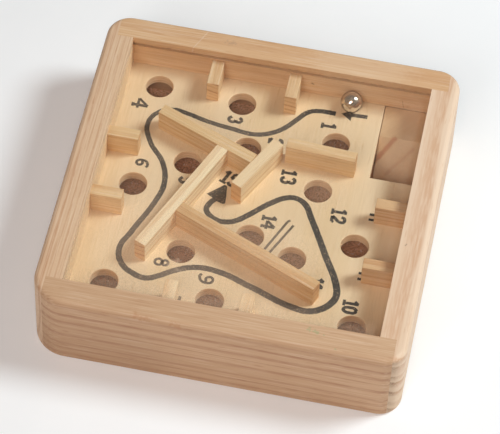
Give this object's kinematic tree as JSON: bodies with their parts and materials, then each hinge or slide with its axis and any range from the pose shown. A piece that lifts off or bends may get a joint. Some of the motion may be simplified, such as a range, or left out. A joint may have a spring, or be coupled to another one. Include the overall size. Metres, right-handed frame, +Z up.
{
  "type": "tilt maze",
  "caption": "Shallow wooden box with a clear cover over a holed maze floor, glued bars, a lower tray, a return ramp and a loose steel ball to be tilted past the holes.",
  "frame": {"origin": "centre of the case's underside, on the table", "axes": "+X to the player's right, +Y away from the player, +Z up"},
  "size_m": [0.13, 0.13, 0.0328],
  "materials": {
    "pine": "sanded, thin clear coat",
    "floor_board": "smooth light plywood with a dark printed route and numbers",
    "strip_wood": "sawn light wood strip",
    "hardboard": "brown pressed fibre board",
    "clear_sheet": "clear acrylic sheet, lightly scratched",
    "steel": "polished steel"
  },
  "bodies": {
    "case": {"rail_left": "pine", "rail_right": "pine", "rail_near": "pine", "rail_far": "pine", "clear_cover": "clear_sheet", "maze_floor": "floor_board", "bottom_panel": "hardboard", "return_ramp": "strip_wood", "block_far_left": "strip_wood", "block_far_right": "strip_wood", "block_left_far": "strip_wood", "block_left_near": "strip_wood", "block_right_far": "strip_wood", "block_right_near": "strip_wood", "block_near_left": "strip_wood", "block_near_right": "strip_wood", "bar_top": "strip_wood", "bar_stem": "strip_wood", "bar_long": "strip_wood", "bar_short": "strip_wood", "bar_cross": "strip_wood"},
    "ball": {"ball": "steel"}
  },
  "joints": [
    {"name": "ball_roll", "type": "slide", "parent": "case", "child": "ball", "axis": [1, 0, 0], "range_m": [-0.0151, 0.0238]}
  ]
}
